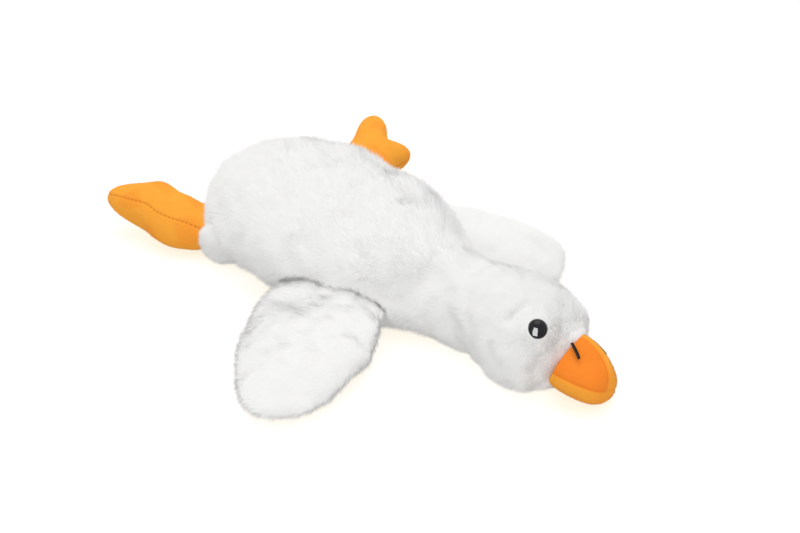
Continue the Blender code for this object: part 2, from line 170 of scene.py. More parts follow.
class GooseColours(bpy.types.PropertyGroup):
    """The colours of the cloths, the thread and the eyes."""

    fur: FloatVectorProperty(
        name="Fur", description="Tips of the fur", default=(0.885, 0.883, 0.876), subtype="COLOR"
    )
    # Painted shade: the fur's roots and backing are darker than its tips, for the shade deep in the pile
    fur_root_painted_shade: FloatVectorProperty(
        name="Fur root", description="Roots of the fur and its backing", default=(0.835, 0.832, 0.823),
        subtype="COLOR",
    )
    # Painted light: the orange is the plush's painted shaded copy and the light orange its painted lit copy,
    # for where less and more light falls
    orange: FloatVectorProperty(
        name="Orange", description="Plush whose nap lies away", default=(1.000, 0.270, 0.032), subtype="COLOR"
    )
    orange_light: FloatVectorProperty(
        name="Light orange", description="Plush whose nap faces the light", default=(1.000, 0.410, 0.050),
        subtype="COLOR",
    )
    thread: FloatVectorProperty(
        name="Seam thread", description="Thread of the orange seams", default=(0.780, 0.210, 0.018),
        subtype="COLOR",
    )
    black_thread: FloatVectorProperty(
        name="Black thread", description="Thread of the nostrils", default=(0.012, 0.005, 0.002),
        subtype="COLOR",
    )
    eye: FloatVectorProperty(
        name="Eye", description="Plastic of the eyes", default=(0.010, 0.011, 0.013), subtype="COLOR"
    )


class GooseStage(bpy.types.PropertyGroup):
    """Where the camera stands, and how strong the lamps are."""

    azimuth: FloatProperty(
        name="Azimuth", description="Turn of the camera about the goose", default=math.radians(42.9),
        subtype="ANGLE",
    )
    elevation: FloatProperty(
        name="Elevation", description="How far the camera looks down",
        default=math.radians(35.0), subtype="ANGLE",
    )
    distance: FloatProperty(
        name="Distance", description="Camera to the point it looks at", default=1.6, unit="LENGTH"
    )
    focus: FloatProperty(
        name="Focal length", description="Focal length in pixels of the photograph", default=1882.0
    )
    target: FloatVectorProperty(
        name="Target", description="The point that the camera looks at", default=(0.0404, 0.0345, 0.0),
        subtype="TRANSLATION",
    )
    sky: FloatProperty(name="Sky", description="Light from all round", default=0.78)
    top: FloatProperty(name="Top lamp", description="Power of the large lamp overhead", default=16.0)
    front: FloatProperty(name="Front lamp", description="Power of the strip lamp in front", default=2.5)
    catch: FloatProperty(
        name="Catch light", description="Power of the strip that the eye mirrors",
        default=0.80
    )


def read(items, field, width=1, kind=np.float64):
    """A field of all the items of a mesh: one value each, or a row of values."""
    values = np.empty(len(items) * width, dtype=kind)
    items.foreach_get(field, values)
    return values.reshape(-1, width) if width > 1 else values


def points_of(mesh):
    return read(mesh.vertices, "co", 3)


def normals_of(mesh):
    return read(mesh.vertex_normals, "vector", 3)


def put_points(mesh, points):
    mesh.vertices.foreach_set("co", np.ascontiguousarray(points, dtype=np.float32).ravel())
    mesh.update()


def unit(vectors):
    return vectors / np.maximum(np.linalg.norm(vectors, axis=-1, keepdims=True), 1e-9)


def smooth_step(value, low, high):
    """0 up to low, 1 from high on, and a smooth S between them."""
    share = np.clip((value - low) / (high - low), 0.0, 1.0)
    return share * share * (3.0 - 2.0 * share)


def ripple(points, wavelength, seed, waves=16):
    """A smooth wandering value with a spread of about 1: sine waves in random directions, added up."""
    source = np.random.default_rng(seed)
    ways = unit(source.normal(size=(waves, 3)))
    pace = 2 * math.pi / wavelength * source.uniform(0.7, 1.5, waves)
    phase = source.uniform(0, 2 * math.pi, waves)
    return np.sin(points @ (ways * pace[:, None]).T + phase).sum(axis=1) * math.sqrt(2 / waves)


def new_object(name, mesh):
    made = bpy.data.objects.new(name, mesh)
    bpy.context.scene.collection.objects.link(made)
    return made


def work_in(obj):
    """Works an object's modifiers into its mesh."""
    bpy.context.view_layer.update()
    graph = bpy.context.evaluated_depsgraph_get()
    mesh = bpy.data.meshes.new_from_object(obj.evaluated_get(graph), depsgraph=graph)
    obj.modifiers.clear()
    obj.data = mesh


def copy_of(node, name):
    """A welded copy of a frame node, as a new object."""
    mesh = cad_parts[node].data.copy()
    mesh.name = name
    mesh.materials.clear()
    shape = bmesh.new()
    shape.from_mesh(mesh)
    bmesh.ops.remove_doubles(shape, verts=shape.verts, dist=0.00002)
    shape.to_mesh(mesh)
    shape.free()
    return new_object(name, mesh)


def remesh(obj, voxel, rounds=0):
    """Gives the piece even faces, and smooths them a number of rounds."""
    even = obj.modifiers.new("even faces", "REMESH")
    even.mode = "VOXEL"
    even.voxel_size = voxel
    even.use_smooth_shade = True
    if rounds:
        ease = obj.modifiers.new("ease", "SMOOTH")
        ease.factor = 0.5
        ease.iterations = rounds
    work_in(obj)


def tree_of(obj):
    """A search tree over an object's faces."""
    mesh = obj.data
    corners = [tuple(polygon.vertices) for polygon in mesh.polygons]
    return BVHTree.FromPolygons([Vector(p) for p in points_of(mesh)], corners)


def way_into(points, nodes):
    """How far each point is from the nearest of some nodes, and the direction into that node."""
    trees = [tree_of(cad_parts[node]) for node in nodes]
    found = []
    for point in points:
        hits = [tree.find_nearest(Vector(point)) for tree in trees]
        _, normal, _, gap = min(hits, key=lambda hit: hit[3])
        found.append((gap, *(-normal)))
    found = np.array(found)
    return found[:, :1], found[:, 1:]


def soft_skin(node, name, voxel, depth, neighbours, into, near=0.0025):
    """The cloth of a stuffed piece: the node's shape drawn in by depth.

    Where it comes near its neighbours it is carried into them instead, so that no gap opens at
    the seam: fully within near, and less and less up to three times as far.
    """
    skin = copy_of(node, name)
    remesh(skin, voxel, 2)
    points = points_of(skin.data)
    gaps, inward = way_into(points, neighbours)
    joined = 1.0 - smooth_step(gaps, near, 3 * near)
    move = joined * (gaps + into) * inward - depth * (1.0 - joined) * normals_of(skin.data)
    put_points(skin.data, points + move)
    remesh(skin, voxel, 3)
    return skin


def swell(skin, pressure, limit, held=None):
    """Blows the cloth up with its stuffing. No point moves further than the limit.

    The cloth solver runs for 20 steps with no gravity, and held points stay where they are.
    """
    scene = bpy.context.scene
    before = points_of(skin.data)
    cloth = skin.modifiers.new("stuffing", "CLOTH")
    cloth.settings.use_pressure = True
    cloth.settings.uniform_pressure_force = pressure
    cloth.settings.effector_weights.gravity = 0.0
    if held is not None:
        pins = skin.vertex_groups.new(name="held")
        pins.add([int(k) for k in np.nonzero(held)[0]], 1.0, "REPLACE")
        cloth.settings.vertex_group_mass = "held"
    for step in range(1, 21):
        scene.frame_set(step)
    graph = bpy.context.evaluated_depsgraph_get()
    after = points_of(skin.evaluated_get(graph).data)
    skin.modifiers.clear()
    skin.vertex_groups.clear()
    scene.frame_set(1)
    move = after - before
    length = np.linalg.norm(move, axis=1, keepdims=True)
    put_points(skin.data, before + move * np.minimum(1.0, limit / np.maximum(length, 1e-9)))


def rest_on_floor(skin):
    """Flattens what would sink under the resting plane."""
    points = points_of(skin.data)
    points[:, 2] = np.maximum(points[:, 2], REST_HEIGHT)
    put_points(skin.data, points)


def subdivide(skin, levels=1):
    finer = skin.modifiers.new("finer", "SUBSURF")
    finer.levels = levels
    finer.render_levels = levels
    work_in(skin)


def sight(pixel):
    """The camera's place, and the direction in which it sees a pixel of the photograph."""
    stage = bpy.context.scene.goose_stage
    right, up, back = camera_axes(stage)
    place = np.array(stage.target) + stage.distance * back
    across = pixel[0] - PHOTO_WIDTH / 2
    down = pixel[1] - PHOTO_HEIGHT / 2
    return place, unit(-back * stage.focus + right * across - up * down)


def camera_axes(stage):
    """The camera's right, up and backward directions."""
    turn = stage.azimuth
    rise = stage.elevation
    back = np.array([math.sin(turn) * math.cos(rise), -math.cos(turn) * math.cos(rise), math.sin(rise)])
    right = np.array([math.cos(turn), math.sin(turn), 0.0])
    return right, np.cross(back, right), back


def seen_at(tree, pixel):
    """The point of a piece that the photograph shows at a pixel, and the surface's normal there."""
    place, way = sight(pixel)
    point, normal, _, _ = tree.ray_cast(Vector(place), Vector(way))
    if point is None:
        raise ValueError(f"nothing of the piece is seen at {pixel}")
    return np.array(point), np.array(normal)


def distance_to_line(points, line):
    """How far each point is from the nearest stretch of a line through the given points."""
    best = np.full(len(points), np.inf)
    for start, end in zip(line[:-1], line[1:]):
        along = end - start
        share = np.clip((points - start) @ along / (along @ along), 0.0, 1.0)
        best = np.minimum(best, np.linalg.norm(points - start - share[:, None] * along, axis=1))
    return best


def crease(skin, line, width, depth):
    """Presses a fold along a line: its depth falls off with distance as a bell curve of that width."""
    points = points_of(skin.data)
    fall = np.exp(-((distance_to_line(points, line) / width) ** 2))
    put_points(skin.data, points - normals_of(skin.data) * (depth * fall)[:, None])


def give_attribute(obj, name, values):
    layer = obj.data.attributes.get(name) or obj.data.attributes.new(name, "FLOAT", "POINT")
    layer.data.foreach_set("value", values.astype(np.float32))


def surface_samples(mesh, amount, weigh, seed):
    """Random places on a mesh with their normals, as likely as a face's area times its weight."""
    mesh.calc_loop_triangles()
    corners = read(mesh.loop_triangles, "vertices", 3, np.int32)
    points = points_of(mesh)
    normals = normals_of(mesh)
    a, b, c = (points[corners[:, k]] for k in range(3))
    weight = weigh((a + b + c) / 3, normals[corners].mean(axis=1))
    share = np.linalg.norm(np.cross(b - a, c - a), axis=1) * weight
    source = np.random.default_rng(seed)
    chosen = source.choice(len(corners), size=amount, p=share / share.sum())
    u = np.sqrt(source.random(amount))[:, None]
    v = source.random(amount)[:, None]
    mix = np.stack([1 - u, u * (1 - v), u * v], axis=1)
    root = (points[corners[chosen]] * mix).sum(axis=1)
    return root, unit((normals[corners[chosen]] * mix).sum(axis=1)), source


def pile(name, skin, amount, length, width, lean, flow, seed, weigh, trim=None, stand=None):
    """The pile of a cloth: closed three-sided tufts, each a root triangle and a tip.

    The tip is root + reach * (cos(tilt) * normal + sin(tilt) * along), where along is the nap in the
    cloth's plane, turned a little. Slow ripples turn neighbours alike, into locks. The root triangle
    is flat on its outer side, and the tufts are lit by the cloth's normal, drawn upwards. The map
    runs across one of some columns, and from the root, 0, to the tip, 1.
    """
    root, normal, source = surface_samples(skin.data, amount, weigh, seed)
    nap = flow(root)
    nap = unit(nap - (nap * normal).sum(axis=1, keepdims=True) * normal)
    side = np.cross(normal, nap)
    turn = TURN_RIPPLE * ripple(root, 3.2 * length, seed) + source.normal(0, TURN_CHANCE, amount)
    lock = LIFT_RIPPLE * ripple(root, 1.8 * length, seed + 1) + source.normal(0, LIFT_CHANCE, amount)
    if stand is not None:
        lock = lock - lean * stand(root)
    tilt = np.clip(lean + lock, LEAST_TILT, MOST_TILT)[:, None]
    along = np.cos(turn)[:, None] * nap + np.sin(turn)[:, None] * side
    way = np.cos(tilt) * normal + np.sin(tilt) * along
    reach = length * source.uniform(*REACH_RANGE, amount)
    if trim is not None:
        reach = reach * trim(root)
    tip = root + way * reach[:, None]
    tip[:, 2] = np.maximum(tip[:, 2], REST_HEIGHT)
    first = unit(np.cross(way, normal) + 0.001 * side)
    second = FLATNESS * np.cross(first, way)
    angle = np.radians((150, 30, -90))
    spread = width / 2 * source.uniform(0.7, 1.2, amount)
    ring = first[:, None] * np.cos(angle)[:, None] + second[:, None] * np.sin(angle)[:, None]
    base = (root - normal * ROOT_SUNK)[:, None] + ring * spread[:, None, None]
    points = np.concatenate([base, tip[:, None]], axis=1).reshape(-1, 3)
    sides = np.array([[0, 1, 3], [1, 2, 3], [2, 0, 3], [2, 1, 0]])
    faces = (np.arange(amount)[:, None, None] * 4 + sides).reshape(-1, 3)
    mesh = bpy.data.meshes.new(name)
    mesh.vertices.add(len(points))
    mesh.vertices.foreach_set("co", points.astype(np.float32).ravel())
    mesh.loops.add(faces.size)
    mesh.loops.foreach_set("vertex_index", faces.astype(np.int32).ravel())
    mesh.polygons.add(len(faces))
    mesh.polygons.foreach_set("loop_start", np.arange(0, faces.size, 3, dtype=np.int32))
    mesh.update(calc_edges=True)
    mesh.shade_smooth()
    lit = normal + np.array([0.0, 0.0, UPWARD_LIGHT])
    soft = np.concatenate([lit[:, None] + 0.14 * ring, (lit + 0.12 * way)[:, None]], axis=1)
    mesh.normals_split_custom_set_from_vertices(unit(soft).reshape(-1, 3))
    column = source.integers(0, STRAND_COLUMNS, amount)[:, None]
    corner = np.array([0, 1, 0.5, 0, 1, 0.5, 0, 1, 0.5, 0, 1, 0.5])
    height = np.array([0, 0, 1, 0, 0, 1, 0, 0, 1, 0, 0, 0.03])
    across = (column + 0.2 + 0.6 * corner) / STRAND_COLUMNS
    places = np.stack([across, np.broadcast_to(0.02 + 0.96 * height, across.shape)], axis=-1)
    layer = mesh.uv_layers.new(name="OFBake")
    layer.data.foreach_set("uv", places.astype(np.float32).ravel())
    made = new_object(name, mesh)
    made.visible_shadow = False
    made.visible_diffuse = False
    return made


def longest_ring(links):
    """The longest closed walk through places that are each linked to two others."""
    rings = []
    left = set(links)
    while left:
        ring = [left.pop()]
        step = [k for k in links[ring[0]] if k in left]
        while step:
            ring.append(step[0])
            left.discard(step[0])
            step = [k for k in links[ring[-1]] if k in left]
        rings.append(ring)
    return max(rings, key=len)


def contour(mesh, values):
    """Where a value over the mesh is 0: one ring of places on its edges, eased, with normals."""
    first, second = read(mesh.edges, "vertices", 2, np.int32).T
    crossed = values[first] * values[second] < 0
    loops = read(mesh.loops, "edge_index", kind=np.int32)
    starts = read(mesh.polygons, "loop_start", kind=np.int32)
    faces = np.nonzero(np.add.reduceat(crossed[loops].astype(int), starts) == 2)[0]
    links = {}
    for face in faces:
        corners = mesh.polygons[face].loop_indices
        one, other = (int(loops[k]) for k in corners if crossed[loops[k]])
        links.setdefault(one, []).append(other)
        links.setdefault(other, []).append(one)
    ring = np.array(longest_ring(links))
    first, second = first[ring], second[ring]
    share = (values[first] / (values[first] - values[second]))[:, None]
    points = points_of(mesh)
    normals = normals_of(mesh)
    places = points[first] + share * (points[second] - points[first])
    facing = normals[first] + share * (normals[second] - normals[first])
    for _ in range(30):
        places = (np.roll(places, 1, axis=0) + 2 * places + np.roll(places, -1, axis=0)) / 4
        facing = (np.roll(facing, 1, axis=0) + 2 * facing + np.roll(facing, -1, axis=0)) / 4
    return places, unit(facing)


def closed_surface(name, points, faces):
    """A smooth new object of points and faces, its faces turned outward."""
    mesh = bpy.data.meshes.new(name)
    mesh.from_pydata(points.tolist(), [], faces)
    shape = bmesh.new()
    shape.from_mesh(mesh)
    bmesh.ops.recalc_face_normals(shape, faces=shape.faces)
    shape.to_mesh(mesh)
    shape.free()
    mesh.shade_smooth()
    return new_object(name, mesh)


def stitches(name, line, facing, length, gap, width):
    """Stitches along a line: each a closed spindle of six sides whose width follows a half sine."""
    steps = np.linalg.norm(np.diff(line, axis=0), axis=1)
    run = np.concatenate([[0.0], np.cumsum(steps)])
    starts = np.arange(0.0, run[-1] - length, length + gap)
    stations, sides = 5, 6
    share = np.linspace(0.0, 1.0, stations)
    at = starts[:, None] + length * share
    centre = np.stack([np.interp(at, run, line[:, k]) for k in range(3)], axis=-1)
    out = unit(np.stack([np.interp(at, run, facing[:, k]) for k in range(3)], axis=-1))
    ahead = unit(centre[:, -1:] - centre[:, :1])
    across = unit(np.cross(ahead, out))
    up = np.cross(across, ahead)
    lift = width * (0.15 + 0.35 * np.sin(math.pi * share))[:, None]
    centre = centre + out * lift
    radius = width / 2 * (0.45 + 0.55 * np.sin(math.pi * share))
    angle = np.arange(sides) * 2 * math.pi / sides
    ring = across[:, :, None] * np.cos(angle)[:, None] + up[:, :, None] * np.sin(angle)[:, None]
    points = centre[:, :, None] + ring * radius[:, None, None]
    count = len(starts)
    quads = []
    for station in range(stations - 1):
        for k in range(sides):
            low = station * sides
            quads.append((low + k, low + (k + 1) % sides, low + sides + (k + 1) % sides, low + sides + k))
    first_end = tuple(range(sides))[::-1]
    last_end = tuple((stations - 1) * sides + k for k in range(sides))
    faces = []
    for stitch in range(count):
        base = stitch * stations * sides
        faces += [tuple(base + k for k in face) for face in (*quads, first_end, last_end)]
    return closed_surface(name, points.reshape(-1, 3), faces)


def turned_surface(name, profile, steps, place):
    """A closed turned surface: the profile's radius and height carried round an axis, poles closed."""
    radius, height = np.array(profile).T
    turn = np.arange(steps) * 2 * math.pi / steps
    x = radius[:, None] * np.cos(turn)
    y = radius[:, None] * np.sin(turn)
    z = np.broadcast_to(height[:, None], x.shape)
    points = np.stack([x, y, z], axis=-1).reshape(-1, 3)
    points = points @ np.array(place.to_3x3()).T + np.array(place.translation)
    rows = len(profile)
    k = np.arange(steps)
    after = (k + 1) % steps
    faces = []
    for row in range(rows - 1):
        low = row * steps
        faces += np.stack([low + k, low + steps + k, low + steps + after, low + after], axis=1).tolist()
    faces.append(list(range(steps)))
    faces.append(list(range((rows - 1) * steps, rows * steps))[::-1])
    return closed_surface(name, points, faces)


def new_group(name, inputs, outputs):
    """A shader node group with named inputs and outputs, and its nodes, links and ends."""
    tree = bpy.data.node_groups.new(name, "ShaderNodeTree")
    for label, kind, value in inputs:
        socket = tree.interface.new_socket(name=label, in_out="INPUT", socket_type="NodeSocket" + kind)
        if value is not None:
            socket.default_value = value
    for label, kind in outputs:
        tree.interface.new_socket(name=label, in_out="OUTPUT", socket_type="NodeSocket" + kind)
    start = tree.nodes.new("NodeGroupInput")
    end = tree.nodes.new("NodeGroupOutput")
    return tree, start, end


def mixed(tree, factor, low, high):
    """A colour mix node with its factor and both colours linked or set."""
    node = tree.nodes.new("ShaderNodeMix")
    node.data_type = "RGBA"
    for socket, value in ((node.inputs[0], factor), (node.inputs[6], low), (node.inputs[7], high)):
        if isinstance(value, bpy.types.NodeSocket):
            tree.links.new(value, socket)
        else:
            socket.default_value = value
    return node.outputs[2]


def noise(tree, vector, scale, detail, roughness=0.5):
    """A noise node's value. The scale may be a socket."""
    node = tree.nodes.new("ShaderNodeTexNoise")
    node.inputs["Detail"].default_value = detail
    node.inputs["Roughness"].default_value = roughness
    if isinstance(scale, bpy.types.NodeSocket):
        tree.links.new(scale, node.inputs["Scale"])
    else:
        node.inputs["Scale"].default_value = scale
    tree.links.new(vector, node.inputs["Vector"])
    return node.outputs["Fac"]


def spread_out(tree, value, low, high, to_low=0.0, to_high=1.0):
    """Maps a value's range onto another, clamped."""
    node = tree.nodes.new("ShaderNodeMapRange")
    node.inputs["From Min"].default_value = low
    node.inputs["From Max"].default_value = high
    node.inputs["To Min"].default_value = to_low
    node.inputs["To Max"].default_value = to_high
    tree.links.new(value, node.inputs["Value"])
    return node.outputs["Result"]


def nap_group(name):
    """Cloth with a pile: soft patches where the nap lies another way, and fine fibres as height."""
    tree, start, end = new_group(
        name,
        (
            ("Vector", "Vector", None),
            ("Tip", "Color", (1, 1, 1, 1)),
            ("Root", "Color", (0.8, 0.8, 0.8, 1)),
            ("Patch Scale", "Float", 40.0),
            ("Fibre Scale", "Float", 900.0),
        ),
        (("Color", "Color"), ("Height", "Float"), ("Roughness", "Float")),
    )
    vector = start.outputs["Vector"]
    patch = spread_out(tree, noise(tree, vector, start.outputs["Patch Scale"], 3.0), 0.30, 0.70)
    fibre = noise(tree, vector, start.outputs["Fibre Scale"], 4.0, 0.65)
    shade = tree.nodes.new("ShaderNodeMath")
    shade.operation = "MULTIPLY_ADD"
    shade.use_clamp = True
    tree.links.new(patch, shade.inputs[0])
    shade.inputs[1].default_value = 0.65
    tree.links.new(spread_out(tree, fibre, 0.25, 0.75, 0.0, 0.35), shade.inputs[2])
    colour = mixed(tree, shade.outputs[0], start.outputs["Root"], start.outputs["Tip"])
    tree.links.new(colour, end.inputs["Color"])
    tree.links.new(fibre, end.inputs["Height"])
    tree.links.new(spread_out(tree, patch, 0.0, 1.0, 0.98, 0.86), end.inputs["Roughness"])
    return tree


def tuft_group(name):
    """A tuft's tone: painted shade at the root, fading to the tip colour, a little different from tuft to
    tuft.
    """
    tree, start, end = new_group(
        name,
        (("Map", "Vector", None), ("Tip", "Color", (1, 1, 1, 1)), ("Root", "Color", (0.8, 0.8, 0.8, 1))),
        (("Color", "Color"), ("Roughness", "Float")),
    )
    split = tree.nodes.new("ShaderNodeSeparateXYZ")
    tree.links.new(start.outputs["Map"], split.inputs[0])
    rise = spread_out(tree, split.outputs["Y"], 0.0, 0.75)
    stretch = tree.nodes.new("ShaderNodeVectorMath")
    stretch.operation = "MULTIPLY"
    stretch.inputs[1].default_value = (STRAND_COLUMNS / 2, 0.0, 0.0)
    tree.links.new(start.outputs["Map"], stretch.inputs[0])
    own = noise(tree, stretch.outputs[0], 1.0, 0.0)
    lighter = spread_out(tree, own, 0.25, 0.75, 0.55, 1.0)
    product = tree.nodes.new("ShaderNodeMath")
    product.operation = "MULTIPLY"
    tree.links.new(rise, product.inputs[0])
    tree.links.new(lighter, product.inputs[1])
    colour = mixed(tree, product.outputs[0], start.outputs["Root"], start.outputs["Tip"])
    tree.links.new(colour, end.inputs["Color"])
    tree.links.new(spread_out(tree, own, 0.2, 0.8, 0.80, 0.95), end.inputs["Roughness"])
    return tree


def thread_group(name):
    """Twisted thread: slanted light and dark bands."""
    tree, start, end = new_group(
        name,
        (
            ("Vector", "Vector", None),
            ("Thread", "Color", (0.5, 0.1, 0.01, 1)),
            ("Strand Scale", "Float", 900.0),
        ),
        (("Color", "Color"), ("Height", "Float")),
    )
    wave = tree.nodes.new("ShaderNodeTexWave")
    wave.bands_direction = "DIAGONAL"
    wave.inputs["Distortion"].default_value = 1.5
    tree.links.new(start.outputs["Vector"], wave.inputs["Vector"])
    tree.links.new(start.outputs["Strand Scale"], wave.inputs["Scale"])
    darker = tree.nodes.new("ShaderNodeVectorMath")
    darker.operation = "SCALE"
    darker.inputs["Scale"].default_value = 0.55
    tree.links.new(start.outputs["Thread"], darker.inputs[0])
    colour = mixed(tree, wave.outputs["Fac"], darker.outputs[0], start.outputs["Thread"])
    tree.links.new(colour, end.inputs["Color"])
    tree.links.new(wave.outputs["Fac"], end.inputs["Height"])
    return tree


def new_material(name, colour, roughness, sheen=0.0):
    """A material with its own shader, and the tree and shader to build on."""
    made = bpy.data.materials.new(name)
    made.use_nodes = True
    made.diffuse_color = (*colour, 1.0)
    shader = made.node_tree.nodes["Principled BSDF"]
    shader.inputs["Base Color"].default_value = (*colour, 1.0)
    shader.inputs["Roughness"].default_value = roughness
    shader.inputs["Sheen Weight"].default_value = sheen
    return made, made.node_tree, shader


def placed_group(tree, name, maker, **values):
    """A node of the group of that name, which is made at its first use, with its inputs set."""
    node = tree.nodes.new("ShaderNodeGroup")
    node.node_tree = bpy.data.node_groups.get(name) or maker(name)
    for label, value in values.items():
        node.inputs[label].default_value = value
    return node


def bump(tree, height, shader, distance, strength=1.0):
    node = tree.nodes.new("ShaderNodeBump")
    node.inputs["Distance"].default_value = distance
    node.inputs["Strength"].default_value = strength
    tree.links.new(height, node.inputs["Height"])
    tree.links.new(node.outputs["Normal"], shader.inputs["Normal"])


def own_coordinates(tree):
    return tree.nodes.new("ShaderNodeTexCoord").outputs["Object"]


def opaque(colour):
    return (*colour, 1.0)


def fur_cloth():
    """The backing under the fur, mixed from the tip colour and the painted shade of the roots."""
    colours = bpy.context.scene.goose_colours
    made, tree, shader = new_material("white fur cloth", colours.fur, 0.95)
    shader.inputs["Specular IOR Level"].default_value = 0.0
    nap = placed_group(tree, "brushed nap", nap_group, Tip=opaque(colours.fur), Root=opaque(colours.fur_root_painted_shade))
    nap.inputs["Patch Scale"].default_value = 45.0
    nap.inputs["Fibre Scale"].default_value = 700.0
    tree.links.new(own_coordinates(tree), nap.inputs["Vector"])
    tree.links.new(nap.outputs["Color"], shader.inputs["Base Color"])
    tree.links.new(nap.outputs["Roughness"], shader.inputs["Roughness"])
    bump(tree, nap.outputs["Height"], shader, 0.0006, 0.6)
    return made


def tuft_material(name, tip, root):
    """The tufts of a pile, which read their own map."""
    made, tree, shader = new_material(name, tip, 0.9)
    shader.inputs["Specular IOR Level"].default_value = 0.0
    tone = placed_group(tree, "tuft tone", tuft_group, Tip=opaque(tip), Root=opaque(root))
    places = tree.nodes.new("ShaderNodeUVMap")
    places.uv_map = "OFBake"
    tree.links.new(places.outputs["UV"], tone.inputs["Map"])
    tree.links.new(tone.outputs["Color"], shader.inputs["Base Color"])
    tree.links.new(tone.outputs["Roughness"], shader.inputs["Roughness"])
    return made


def plush_cloth():
    """The short orange plush: painted light and shade, its lit and shaded copies mixed by the nap attribute,
    and darker in its seams.
    """
    colours = bpy.context.scene.goose_colours
    made, tree, shader = new_material("orange plush cloth", colours.orange, 0.9, 0.12)
    shader.inputs["Sheen Roughness"].default_value = 0.45
    shader.inputs["Sheen Tint"].default_value = (1.0, 0.72, 0.42, 1.0)
    shader.inputs["Specular IOR Level"].default_value = 0.0
    # The nap attribute paints light: 1 takes the painted lit copy, 0 the painted shaded copy
    facing = tree.nodes.new("ShaderNodeAttribute")
    facing.attribute_name = "nap"
    nap = placed_group(tree, "brushed nap", nap_group)
    tree.links.new(
        mixed(tree, facing.outputs["Fac"], opaque(colours.orange), opaque(colours.orange_light)),
        nap.inputs["Tip"]
    )
    # The roots of both copies are darker still: painted shade deep in the pile
    painted_shade_root = [0.90 * value for value in colours.orange]
    lighter = [0.92 * value for value in colours.orange_light]
    tree.links.new(mixed(tree, facing.outputs["Fac"], opaque(painted_shade_root), opaque(lighter)), nap.inputs["Root"])
    nap.inputs["Patch Scale"].default_value = 60.0
    nap.inputs["Fibre Scale"].default_value = 1500.0
    tree.links.new(own_coordinates(tree), nap.inputs["Vector"])
    seam = tree.nodes.new("ShaderNodeAttribute")
    seam.attribute_name = "seam"
    colour = mixed(tree, seam.outputs["Fac"], nap.outputs["Color"], opaque(colours.thread))
    tree.links.new(colour, shader.inputs["Base Color"])
    tree.links.new(nap.outputs["Roughness"], shader.inputs["Roughness"])
    bump(tree, nap.outputs["Height"], shader, 0.0005, 0.6)
    return made


def thread_material(name, colour):
    made, tree, shader = new_material(name, colour, 0.8)
    shader.inputs["Specular IOR Level"].default_value = 0.1
    thread = placed_group(tree, "twisted thread", thread_group, Thread=opaque(colour))
    tree.links.new(own_coordinates(tree), thread.inputs["Vector"])
    tree.links.new(thread.outputs["Color"], shader.inputs["Base Color"])
    bump(tree, thread.outputs["Height"], shader, 0.0002, 0.8)
    return made


def eye_plastic():
    """Polished black plastic with faint wear in its gloss."""
    colours = bpy.context.scene.goose_colours
    made, tree, shader = new_material("black eye plastic", colours.eye, 0.08)
    shader.inputs["Specular IOR Level"].default_value = 0.20
    wear = noise(tree, own_coordinates(tree), 350.0, 3.0)
    tree.links.new(spread_out(tree, wear, 0.35, 0.75, 0.06, 0.16), shader.inputs["Roughness"])
    return made


def shared(name, maker, *values):
    """The material of that name, made at its first use."""
    return bpy.data.materials.get(name) or maker(*values)


def dress(obj, material):
    """Puts a material on a piece and lets it ride on the goose."""
    obj.data.materials.clear()
    obj.data.materials.append(material)
    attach(obj, "root")
    return obj


def fur_tufts():
    colours = bpy.context.scene.goose_colours
    # The tufts' roots take the painted shade colour of the pile
    return shared("white fur tufts", tuft_material, "white fur tufts", colours.fur, colours.fur_root_painted_shade)


def plush_tufts(name):
    colours = bpy.context.scene.goose_colours
    # Painted light: feet tufts take the lit copy of the orange, bill tufts the shaded copy, and their roots
    # are painted shade
    tip = {"feet": colours.orange_light, "bill": colours.orange}[name]
    root = [0.92 * value for value in tip]
    return shared(f"orange {name} tufts", tuft_material, f"orange {name} tufts", tip, root)


def one_way(direction):
    """A nap that points the same way all over a piece."""
    return lambda roots: np.broadcast_to(np.array(direction), roots.shape)


def off_the_floor(centres, normals):
    """No pile grows on the face that the goose rests on."""
    return np.where((centres[:, 2] < 0.0035) & (normals[:, 2] < -0.3), 0.02, 1.0)


def bill_axes():
    """The bill's forward, left and upward directions: the head lies rolled to one side."""
    turn = Matrix.Rotation(BILL_YAW, 3, "Z") @ Matrix.Rotation(-HEAD_ROLL, 3, "X")
    return np.array(turn.transposed())


def thick_at_the_joint(centres, normals):
    """More fur grows where a limb is sewn to the body."""
    gaps, _ = way_into(centres, ("body",))
    return off_the_floor(centres, normals) * (2.2 - 1.2 * smooth_step(gaps[:, 0], 0.004, 0.012))


def eye_middles():
    """The middle of each eye's frame node."""
    return [points_of(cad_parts[node].data).mean(axis=0) for node in ("right_eye", "left_eye")]


BODY_FOLDS = (
    # name, pixels of the photograph that the fold passes through, width, depth
    ("brow", ((510, 322), (518, 312), (526, 307)), 0.0034, 0.0046),
    ("cheek", ((493, 345), (512, 347), (531, 343)), 0.0035, 0.0012),
    ("jaw", ((528, 352), (538, 358), (545, 366)), 0.0035, 0.0012),
    ("neck hollow", ((380, 292), (405, 292), (428, 272)), 0.0150, 0.0065),
    ("wing fold", ((340, 285), (371, 281), (388, 300)), 0.0050, 0.0030),
    ("neck fold", ((402, 302), (414, 292), (430, 268), (437, 257)), 0.0050, 0.0030),
    ("nape fold", ((470, 262), (476, 290), (468, 318)), 0.0060, 0.0018),
)


